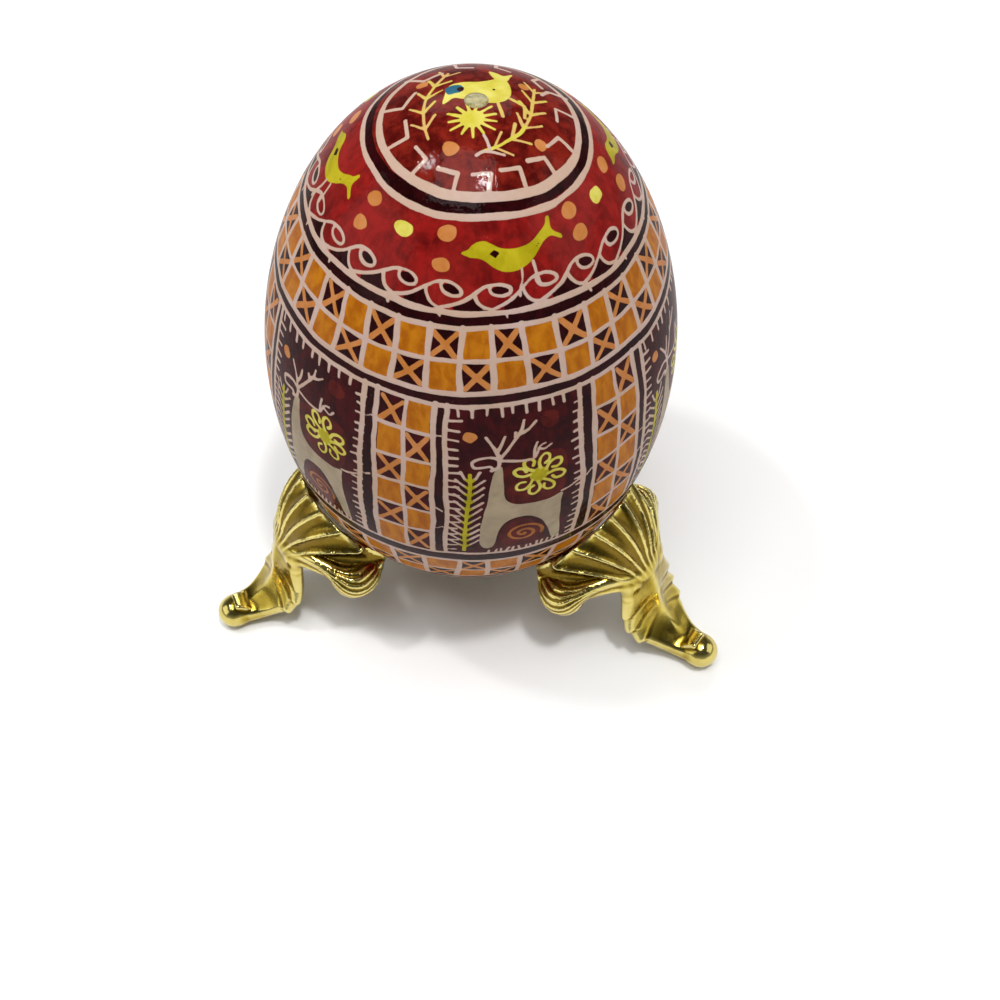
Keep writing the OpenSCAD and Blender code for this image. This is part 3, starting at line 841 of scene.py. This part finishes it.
def seal(name, node, up):
    """A blob pressed into the hole: a low uneven dome outside, a lump inside."""
    row = A_ROW[0] if up > 0 else A_ROW[-1]
    z_out = outline(row)[1]
    z_in = outline(row, SHELL_T)[1]
    q = np.linspace(0, 1, 15)[1:]
    prof = [(HOLE_R * 0.985 * x, z_out + up * (0.064 * (1 - x**2.4) - 0.01)) for x in q]
    prof += [(HOLE_R * 0.985, z_out + (z_in - z_out) * 0.5), (HOLE_R * 0.985, z_in)]
    prof += [(HOLE_R * 0.985 * x, z_in - up * 0.14 * (1 - x**2)) for x in q[::-1][1:]]
    prof = np.array(prof)
    n, k = len(prof), 60
    th = np.arange(k) / k * 2 * math.pi
    P = np.stack([prof[:, :1] * np.sin(th), -prof[:, :1] * np.cos(th), prof[:, 1:] + 0 * th], -1).reshape(-1, 3)
    P[:, 2] += up * 0.014 * waves(P, 0.9, 71) * (np.hypot(P[:, 0], P[:, 1]) < 0.9)
    P = np.concatenate([P, [[0, 0, z_out + up * 0.057], [0, 0, z_in - up * 0.14]]])
    i, j = np.meshgrid(np.arange(n - 1), np.arange(k), indexing="ij")
    a, b = i * k + j, i * k + (j + 1) % k
    c, d = (i + 1) * k + (j + 1) % k, (i + 1) * k + j
    quads = np.stack([a, d, c, b], -1).reshape(-1, 4)
    jj = np.arange(0, k, 2)
    cap1 = np.stack([np.full(len(jj), n * k), jj, (jj + 1) % k, (jj + 2) % k], 1)
    last = (n - 1) * k
    cap2 = np.stack([np.full(len(jj), n * k + 1), last + (jj + 2) % k, last + (jj + 1) % k, last + jj], 1)
    faces = np.concatenate([quads, cap1, cap2])
    if up < 0:
        faces = faces[:, ::-1]
    ob = make_mesh(name, leaned(P), faces)
    ob.data.materials.append(FILLER)
    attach(ob, "egg")
    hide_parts(node)
    return ob


seal("upper_seal", "top_hole_seal", 1)
seal("lower_seal", "bottom_hole_seal", -1)


# ================================================================ cast legs
def bez(a, b, c, t):
    a, b, c = (np.asarray(v, float) for v in (a, b, c))
    return a * (1 - t) ** 2 + b * 2 * t * (1 - t) + c * t**2


def leaf_edge(f):
    g, h = abs(f), math.copysign(1, f)
    if g < 0.5:
        return bez([20.2, 0, 21], [20.1, h * 2.9, 20.9], [18.7, h * 5.1, 18.7], g * 2)
    return bez([18.7, h * 5.1, 18.7], [17.3, h * 7.8, 15.9], [15.5, h * 7.9, 11.9], g * 2 - 1)


FLUTES = 9


def leaf_sheet(nf, nv):
    """Middle points and outward normals of the leaf, before it is fluted."""
    f = np.linspace(-1, 1, nf)
    v = np.linspace(0, 1, nv)
    K = np.array([[24.7 - 0.5 * x * x, 2.4 * x, 12.6 - 0.8 * x * x] for x in f])
    B = np.array([[23.9 - 1.4 * x * x, 6.9 * x, 18.3 - 3 * x * x] for x in f])
    E = np.array([leaf_edge(x) for x in f])
    t = v[None, :, None]
    P = K[:, None] * (1 - t) ** 2 + B[:, None] * 2 * t * (1 - t) + E[:, None] * t**2
    N = np.cross(np.gradient(P, axis=0), np.gradient(P, axis=1))
    N /= np.linalg.norm(N, axis=-1, keepdims=True)
    return P - 0.8 * N, N


def flute(f, v):
    """Depth below the leaf's face: hollow channels, with a thin raised rib on each crest between them."""
    c = np.abs(np.cos(math.pi / 2 * FLUTES * f))
    grow = np.clip(v * 3.0 + 0.10, 0, 1)
    deep = 0.46 + 0.22 * np.clip((np.abs(f) - 0.72) / 0.14, 0, 1)  # the outermost channel is the deepest
    return grow * (deep * c**0.85 - 0.12 * np.exp(-((c / 0.27) ** 2)))


VOLUTE = [[24.0, 1.0, 12.6, 0.7], [23.2, 2.8, 13.3, 0.8], [22, 4.7, 13.8, 0.8], [20.9, 6.2, 13.5, 0.85], [19.8, 7.2, 12.5, 1.3], [18.5, 7.8, 11.3, 2.1],
          [17.1, 7.55, 11.15, 2.0], [16.0, 7.1, 11.5, 1.15]]
LIP = [[23.8, 2.4, 12.0, 0.8], [22.7, 4.1, 12.7, 0.72], [21.3, 5.7, 12.7, 0.72], [19.8, 6.9, 11.9, 1.0]]
CURL = [[16.0, 7.1, 11.6, 1.0], [15.4, 6.9, 10.9, 0.9], [15.7, 6.7, 10.1, 0.8], [16.6, 6.8, 9.8, 0.7], [17.1, 7.0, 10.2, 0.6]]
STEM = [[21.8, 11.6, 1.3, 1.7, 0.0], [23.2, 12.5, 1.3, 3.3, 0.7], [23.9, 10.9, 1.35, 3.8, 0.95], [24.3, 9.2, 1.45, 3.9, 1.0], [24.6, 7.4, 1.5, 4.0, 1.0],
        [25.3, 5.5, 1.5, 4.1, 1.0], [26.6, 3.9, 1.4, 3.8, 0.9], [28.1, 2.8, 1.3, 3.0, 0.6], [29.6, 2.1, 1.25, 2.35, 0.25], [31.0, 1.9, 1.3, 2.0, 0.0], [32.0, 1.9, 1.4, 1.8, 0.0]]


def tube(P, line_, ridges=0.0, count=14):
    """Field of a tube along a 3-D line with its radius in the last column; ridges flutes its outer side."""
    c = spline(line_, 7)
    best = np.full(len(P), 1e9)
    for k, (a, b) in enumerate(zip(c[:-1], c[1:])):
        e = b[:3] - a[:3]
        t = np.clip((P - a[:3]) @ e / (e @ e), 0, 1)
        q = P - a[:3] - t[:, None] * e
        d = np.linalg.norm(q, axis=1)
        r = a[3] + (b[3] - a[3]) * t
        if ridges:
            u = np.array([0, 0, 1.0]) - e * (e[2] / (e @ e))
            u /= np.linalg.norm(u)
            w = np.cross(e / np.linalg.norm(e), u)
            ang = np.arctan2(q @ w, q @ u)
            # fluted on the side that looks out, and only past its root
            face = np.clip(0.15 + 1.1 * np.cos(ang - 1.1), 0, 1) * np.clip(3.2 * (k + t) / len(c) - 0.75, 0, 1)
            r = r - ridges * face * np.abs(np.cos(ang * count / 2)) ** 0.8
        best = np.minimum(best, d - r)
    return best


def make_leg(h):
    lo, hi = np.array([12.6, 0.0, -0.45]), np.array([35.2, 10.95, 22.05])
    n = np.ceil((hi - lo) / h).astype(int) + 1
    g = np.stack(np.meshgrid(*[lo[k] + h * np.arange(n[k]) for k in range(3)], indexing="ij"), -1)
    P = g.reshape(-1, 3)
    phi = np.full(len(P), 5.0)

    # volute and its curled end, only where they can be
    near = np.nonzero((P[:, 0] < 27) & (P[:, 2] > 7) & (P[:, 2] < 16.5))[0]
    vol = tube(P[near], VOLUTE, ridges=0.24, count=15)
    cur = tube(P[near], CURL)
    vol = smin(vol, cur, 0.35)
    vol = smin(vol, tube(P[near], LIP), 0.25)
    phi[near] = np.minimum(phi[near], vol)

    # stem: nearest point of its line in the plane t = 0, then its section there
    c = spline(STEM, 10)
    sz = g[:, 0][:, :, [0, 2]].reshape(-1, 2)
    best = np.full(len(sz), 1e9)
    out = np.zeros((len(sz), 5))
    run = np.concatenate([[0], np.cumsum(np.hypot(*np.diff(c[:, :2], axis=0).T))])
    for k, (a, b) in enumerate(zip(c[:-1], c[1:])):
        e = b[:2] - a[:2]
        t = np.clip((sz - a[:2]) @ e / (e @ e), 0, 1)
        q = sz - a[:2] - t[:, None] * e
        d = np.hypot(q[:, 0], q[:, 1])
        m = d < best
        best[m] = d[m]
        side = (e[0] * q[:, 1] - e[1] * q[:, 0])  # outer side of the stem
        vals = a[2:] + (b[2:] - a[2:]) * t[:, None]
        over = (sz - a[:2]) @ e / math.sqrt(e @ e)
        out[m] = np.column_stack([np.where(side >= 0, d, -d), vals, run[k] + t * (run[k + 1] - run[k])])[m]
    out = out.reshape(n[0], 1, n[2], 5)
    nn, th, wd, crest, u = (out[..., k] for k in range(5))
    T = g[..., 1]
    lob = np.interp(u, [0, 4.2, 6.7, 7.1, 9.0, 9.4, 11.2, 11.6, 12.6, 30], [0, 0, 0.85, -0.1, 0.85, -0.05, 0.65, 0.0, 0, 0])
    W = wd + lob
    q = T / (wd + 0.8)
    qs = np.sqrt(q * q + 0.004) - 0.063
    tent = 1 - qs
    dome = np.sqrt(np.clip(1 - np.minimum(q, 1) ** 2.6, 0, 1))
    top_ = th * (crest * (1.00 * tent + 0.20) + (1 - crest) * dome)
    # a soft midrib, and shallow grooves that run up to it from between the lobes
    top_ = top_ + 0.20 * crest * np.exp(-((T / 0.75) ** 2))
    for un in (6.95, 9.25, 11.45):
        top_ = top_ - 0.13 * crest * np.clip(1.3 * T / wd - 0.2, 0, 1) * np.exp(-(((u + 0.60 * (wd - T) - un) / 0.26) ** 2))
    low_ = -th * 0.85 * np.sqrt(np.clip(1 - np.minimum(q, 1) ** 2, 0, 1))
    d = smax(smax(nn - top_, low_ - nn, 0.5) * 0.86, (T - W) * 0.85, 0.55)
    phi = phi.reshape(n)
    phi = smin(phi, d, 0.8)

    # web behind the leaf
    poly = np.array([[13.6, 7.7], [16, 12], [18.3, 15], [19.9, 18], [20.9, 19.2], [22.6, 17], [24.2, 13], [24, 10], [22, 7.7]])
    dw = to_shape(sz[:, 0], sz[:, 1], poly).reshape(n[0], 1, n[2])
    phi = smin(phi, smax(dw, T - 1.45, 1.0), 0.8)

    # ball and the tongue that laps it
    s, t, z = g[..., 0], g[..., 1], g[..., 2]
    ball = np.sqrt((s - FOOT_R) ** 2 + t**2 + (z - BALL_Z) ** 2) - (BALL_R - 0.01)
    phi = smin(phi, ball, 0.28)
    arc_ = np.sqrt((s - FOOT_R) ** 2 + (z - BALL_Z) ** 2)
    ang = np.degrees(np.arctan2(z - BALL_Z, FOOT_R - s))
    tongue = smax(smax(np.abs(arc_ - 1.72) - 0.50, t - np.interp(ang, [-60, 0, 40, 95], [1.9, 1.75, 1.45, 0.95]), 0.25), (ang - 82) * 0.033, 0.15)
    tongue = smax(tongue, (5 - ang) * 0.033, 0.3)
    phi = smin(phi, tongue, 0.12)

    # leaf: distance to its middle sheet, less half its thickness there
    from mathutils.bvhtree import BVHTree
    nf, nv = 161, 41
    M, N = leaf_sheet(nf, nv)
    ix = lambda i, j: i * nv + j
    I, J = np.meshgrid(np.arange(nf - 1), np.arange(nv - 1), indexing="ij")
    quads = np.stack([ix(I, J), ix(I + 1, J), ix(I + 1, J + 1), ix(I, J + 1)], -1).reshape(-1, 4)
    tree = BVHTree.FromPolygons(M.reshape(-1, 3).tolist(), quads.tolist())
    cand = np.nonzero((P[:, 2] > 9) & (P[:, 0] < 26.6) & (P[:, 0] > 13))[0]
    pts = M[::5, ::3].reshape(-1, 3)
    pts = pts[pts[:, 1] > -1.5].astype(np.float32)
    rough = np.full(len(cand), 1e9, np.float32)
    Pc = P[cand].astype(np.float32)
    for p in pts:
        dd = Pc - p
        rough = np.minimum(rough, np.einsum("ij,ij->i", dd, dd))
    cand = cand[rough < 2.5**2]
    loc, idx = np.zeros((len(cand), 3)), np.zeros(len(cand), int)
    for m, p in enumerate(P[cand].tolist()):
        a, _, k, _ = tree.find_nearest(p)
        loc[m], idx[m] = a, k
    i0, j0 = idx // (nv - 1), idx % (nv - 1)
    e1, e2 = M[i0 + 1, j0] - M[i0, j0], M[i0, j0 + 1] - M[i0, j0]
    q = loc - M[i0, j0]
    fu = np.clip((q * e1).sum(1) / (e1 * e1).sum(1), 0, 1)
    fv = np.clip((q * e2).sum(1) / (e2 * e2).sum(1), 0, 1)
    q = P[cand] - loc
    dd = np.linalg.norm(q, axis=1)
    side = (q * N[i0, j0]).sum(1) / np.maximum(dd, 1e-6)
    depth = flute((i0 + fu) / (nf - 1) * 2 - 1, (j0 + fv) / (nv - 1))
    half = 0.8 - depth * np.clip(0.5 + 1.2 * side, 0, 1) + 1.1 * (j0 + fv) / (nv - 1) * np.clip(-1.6 * side, 0, 1)
    flat = phi.reshape(-1).copy()
    flat[cand] = smin(flat[cand], dd - half, 0.15 + 0.55 * np.clip(1 - 4 * (j0 + fv) / (nv - 1), 0, 1))
    phi = flat.reshape(n)

    # seat for the egg, and the table's flat
    a = np.linspace(0.01, math.pi - 0.01, 900)
    pr, pz = outline(a, -0.12)
    psi = np.arctan2(pr, pz)
    nr, nz = -np.gradient(pz, a), np.gradient(pr, a)
    cosd = (pr * nr + pz * nz) / np.hypot(pr, pz) / np.hypot(nr, nz)
    # one casting serves all three places, so it clears the leaning egg in each of them
    near = np.nonzero(((s < 24) & (z > 5)).ravel())[0]
    cl, sl = math.cos(LEAN), math.sin(LEAN)
    d_egg = np.full(len(near), 9.0)
    ps, pt, pzz = P[near].T
    for az in DIRS:
        for m in (-1, 1):
            x = ps * math.cos(az) - m * pt * math.sin(az)
            y = ps * math.sin(az) + m * pt * math.cos(az)
            k = pzz - LEAN_Z
            ex, ez = cl * x - sl * k, sl * x + cl * k + LEAN_Z - EGG_C
            rho = np.hypot(ex, y)
            here = np.arctan2(rho, ez)
            d_egg = np.minimum(d_egg, (np.hypot(rho, ez) - np.interp(here, psi, np.hypot(pr, pz))) * np.interp(here, psi, cosd))
    flat = phi.reshape(-1).copy()
    flat[near] = smax(flat[near], -d_egg, 0.10)
    phi = flat.reshape(n)
    phi = np.maximum(phi, -z)
    full = np.concatenate([phi[:, :0:-1], phi], 1)
    flo = np.array([lo[0], -h * (n[1] - 1), lo[2]])
    v, fq = surface_nets(full, flo, h)
    # hollows and crests, for painted shade and rougher grime in the hollows and painted highlights on the crests
    bl = full.copy()
    for _ in range(3):
        for ax in range(3):
            bl = (np.roll(bl, 1, ax) + 2 * bl + np.roll(bl, -1, ax)) / 4
    cav = sample(full - bl, flo, h, v) / h
    keep = np.where(v[:, 2] < 0.12, 0.0, 1.0)
    v = relax(v, fq, 3, 0.35, keep)
    v[:, 2] = np.maximum(v[:, 2], 0)
    return v, fq, cav


leg_v, leg_f, leg_cav = make_leg(0.14)


def gold_material():
    m = Nodes("polished_gold_tone_casting")
    cav = m.attr("hollow").outputs["Fac"]
    big = m.noise(4.5, 3, 0.55, 0.4)
    mid = m.noise(1.1, 4, 0.6, 0.3, seed=0.2)
    fine = m.noise(0.25, 3, 0.6, seed=0.5)
    col = m.mix(m.ramp(big, 0.3, 0.7), (0.440, 0.330, 0.042), (0.585, 0.455, 0.088))
    col = m.mix(m.ramp(mid, 0.5, 0.75, 0.0, 0.35), col, (0.340, 0.215, 0.016))
    # painted shade: the hollows are darkened towards a dark brown; the same mask also makes them rougher, as grime does
    shade_and_grime = m.ramp(m.math("MULTIPLY_ADD", mid, 0.10, cav), -0.02, 0.16, 0.0, 0.85)
    col = m.mix(shade_and_grime, col, (0.150, 0.085, 0.008))
    # painted highlight: the crests are lightened towards a pale highlight colour
    crest_highlight = m.ramp(cav, -0.16, -0.03, 0.6, 0.0)
    col = m.mix(crest_highlight, col, (0.890, 0.780, 0.330))
    rough = m.math("ADD", m.ramp(mid, 0.25, 0.75, 0.09, 0.20), m.math("MULTIPLY", shade_and_grime, 0.16))
    hgt = m.math("MULTIPLY_ADD", fine, 0.35, m.math("MULTIPLY", mid, 0.9))
    return m.mat, m.shader(Base_Color=col, Metallic=1.0, Roughness=rough, Normal=m.bump(hgt, 0.045, 0.55))


GOLD = gold_material()[0]
for name, node, az in (("cast_leg_front_right", "leg_front_right", DIRS[0]), ("cast_leg_front_left", "leg_front_left", DIRS[1]), ("cast_leg_rear", "leg_rear", DIRS[2])):
    c, s = math.cos(az), math.sin(az)
    P = np.stack([c * leg_v[:, 0] - s * leg_v[:, 1] + AX, s * leg_v[:, 0] + c * leg_v[:, 1] + AY, leg_v[:, 2]], 1)
    ob = make_mesh(name, P, leg_f, {"hollow": leg_cav})
    ob.data.materials.append(GOLD)
    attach(ob, "stand")
    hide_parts(node)


# ================================================================ cradle ring with lugs
def field_mesh(lo, hi, h, fn, smooth=2):
    lo, hi = np.array(lo, float), np.array(hi, float)
    n = np.ceil((hi - lo) / h).astype(int) + 1
    g = np.stack(np.meshgrid(*[lo[k] + h * np.arange(n[k]) for k in range(3)], indexing="ij"), -1)
    phi = fn(g[..., 0], g[..., 1], g[..., 2])
    v, q = surface_nets(phi, lo, h)
    bl = phi.copy()
    for _ in range(3):
        for ax in range(3):
            bl = (np.roll(bl, 1, ax) + 2 * bl + np.roll(bl, -1, ax)) / 4
    cav = sample(phi - bl, lo, h, v) / h
    return relax(v, q, smooth, 0.35), q, cav


def ring_field(x, y, z):
    r = np.hypot(x, y)
    d = np.hypot(r - RING_R, z - RING_Z) - (RING_WIRE - 0.01)
    for az in DIRS:
        s, t = x * math.cos(az) + y * math.sin(az), -x * math.sin(az) + y * math.cos(az)
        end = LUG_R - LUG_W / 2
        q = np.hypot(np.maximum(s - end, 0), t) - (LUG_W / 2 - 0.01)
        flat = smax(q, RING_R - s, 0.3)
        lug = smax(flat, np.abs(z - RING_Z) - (LUG_T / 2 - 0.01), 0.18)
        pad = np.hypot(s - SCREW_S, t) - 2.05
        d = smin(d, lug, 0.55)
    return d


v, q, cav = field_mesh([-19.4, -19.4, 5.6], [19.4, 19.4, 8.4], 0.19, ring_field)
v += [AX, AY, 0]
ring_ob = make_mesh("cast_cradle_ring", v, q, {"hollow": cav})
ring_ob.data.materials.append(GOLD)
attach(ring_ob, "stand")
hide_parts("cradle_ring")


# ================================================================ screws
def screw_material():
    m = Nodes("turned_screw_steel")
    turn = m.noise(0.25, 3, 0.6, vector=m.coords(0.1, (1, 1, 5)))
    grain = m.noise(0.6, 3, 0.5, seed=0.6)
    cav = m.attr("hollow").outputs["Fac"]
    col = m.mix(m.ramp(grain, 0.3, 0.7), (0.42, 0.39, 0.33), (0.60, 0.57, 0.50))
    # painted shade: the slot and other hollows of the screw are darkened
    col = m.mix(m.ramp(cav, 0.0, 0.12, 0.0, 0.8), col, (0.10, 0.08, 0.05))
    m.shader(Base_Color=col, Metallic=1.0, Roughness=m.ramp(turn, 0.3, 0.7, 0.24, 0.42), Normal=m.bump(turn, 0.03, 0.6))
    return m.mat


STEEL = screw_material()


def screw_field(x, y, z):
    r = np.hypot(x, y)
    top_z = RING_Z - LUG_T / 2
    dome = np.sqrt(x**2 + y**2 + (z - (top_z + 1.35)) ** 2) - 2.34
    head = smax(smax(r - (HEAD_R - 0.01), dome, 0.15), np.maximum(z - top_z, (top_z - HEAD_H + 0.01) - z), 0.1)
    thread = r - (0.86 - 0.07 * np.abs(((z * 2.2) % 1) * 2 - 1))
    shank = smax(thread, np.maximum(z - (top_z + 4.55), top_z - 0.3 - z), 0.1)
    d = np.minimum(head, shank)
    slot_ = smax(np.abs(y) - 0.26, z - (top_z - HEAD_H + 0.48), 0.05)
    return smax(d, -slot_, 0.06)


sv, sq, sc_ = field_mesh([-1.95, -1.95, 5.1], [1.95, 1.95, 11.1], 0.075, screw_field, 1)
for name, az, spin in (("screw_front_right", DIRS[0], 0.4), ("screw_front_left", DIRS[1], 1.3), ("screw_rear", DIRS[2], 2.2)):
    c, s = math.cos(spin), math.sin(spin)
    P = np.stack([c * sv[:, 0] - s * sv[:, 1] + SCREW_S * math.cos(az) + AX, s * sv[:, 0] + c * sv[:, 1] + SCREW_S * math.sin(az) + AY, sv[:, 2]], 1)
    ob = make_mesh(name, P, sq, {"hollow": sc_})
    ob.data.materials.append(STEEL)
    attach(ob, "stand")
    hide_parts("leg_screws")

# ================================================================ floor, light, camera
bpy.ops.mesh.primitive_plane_add(size=6, location=(0, 0, 0))
floor = bpy.context.object
floor.name = "floor"
m = Nodes("pale_floor")
g = m.noise(60, 3, 0.5)
m.shader(Base_Color=m.mix(m.ramp(g, 0.3, 0.7), (0.83, 0.83, 0.825), (0.855, 0.855, 0.85)), Roughness=0.75)
floor.data.materials.append(m.mat)

world = bpy.data.worlds.new("studio")
bpy.context.scene.world = world
world.use_nodes = True
wt = world.node_tree
wt.nodes.clear()
wo = wt.nodes.new("ShaderNodeOutputWorld")
wb = wt.nodes.new("ShaderNodeBackground")
wc = wt.nodes.new("ShaderNodeTexCoord")
ws = wt.nodes.new("ShaderNodeSeparateXYZ")
wr = wt.nodes.new("ShaderNodeValToRGB")
wt.links.new(wc.outputs["Generated"], ws.inputs[0])
wt.links.new(ws.outputs["Z"], wr.inputs[0])
wt.links.new(wr.outputs[0], wb.inputs[0])
wt.links.new(wb.outputs[0], wo.inputs[0])
cr = wr.color_ramp
cr.elements[0].position, cr.elements[0].color = 0.0, (0.84, 0.84, 0.84, 1)
cr.elements[1].position, cr.elements[1].color = 1.0, (0.12, 0.12, 0.125, 1)
e = cr.elements.new(0.22)
e.color = (0.50, 0.50, 0.50, 1)
e = cr.elements.new(0.50)
e.color = (0.125, 0.125, 0.13, 1)
wb.inputs["Strength"].default_value = 0.56


def area(name, at, aim, size, power, colour=(1, 1, 1), size_y=None):
    from mathutils import Vector
    l = bpy.data.lights.new(name, "AREA")
    l.shape = "RECTANGLE" if size_y else "SQUARE"
    l.size = size
    if size_y:
        l.size_y = size_y
    l.energy = power
    l.color = colour
    o = bpy.data.objects.new(name, l)
    o.location = at
    o.rotation_mode = "QUATERNION"
    o.rotation_quaternion = (Vector(aim) - Vector(at)).to_track_quat("-Z", "Y")
    bpy.context.scene.collection.objects.link(o)
    return o


area("key", (-0.06, -0.12, 0.95), (0, 0, 0.03), 0.55, 4.5)
area("glint_a", (0.12, -0.13, 0.63), (0, 0, 0.05), 0.055, 1.6)
area("glint_b", (-0.234, 0.06, 0.60), (0, 0, 0.05), 0.045, 0.75)
area("left", (-0.70, -0.15, 0.42), (0, 0, 0.03), 0.75, 1.35, size_y=0.5)
area("right", (0.70, -0.10, 0.44), (0, 0, 0.03), 0.75, 1.15, size_y=0.5)
area("back", (0.05, 0.65, 0.55), (0, 0, 0.03), 0.6, 1.6, size_y=0.3)

cam = bpy.data.objects.new("camera", bpy.data.cameras.new("camera"))
bpy.context.scene.collection.objects.link(cam)
from mathutils import Matrix, Vector

pitch, roll, dist = 55.64 * D2R, -0.085, 156.63
fwd = Vector((0, math.cos(pitch), -math.sin(pitch)))
right = Vector((1, 0, 0))
up = right.cross(fwd)
r2 = right * math.cos(roll) + up * math.sin(roll)
u2 = -right * math.sin(roll) + up * math.cos(roll)
target = Vector((2.616 + AX, AY, 5.355))
C = (target - fwd * dist) * MM
cam.matrix_world = Matrix(((r2.x, u2.x, -fwd.x, C.x), (r2.y, u2.y, -fwd.y, C.y), (r2.z, u2.z, -fwd.z, C.z), (0, 0, 0, 1)))
cam.data.sensor_width = 36
cam.data.sensor_fit = "HORIZONTAL"
cam.data.lens = 1258 / 1000 * 36
cam.data.clip_start, cam.data.clip_end = 0.005, 50
bpy.context.scene.camera = cam
bpy.context.scene.view_settings.view_transform = "Standard"
bpy.context.scene.view_settings.look = "None"
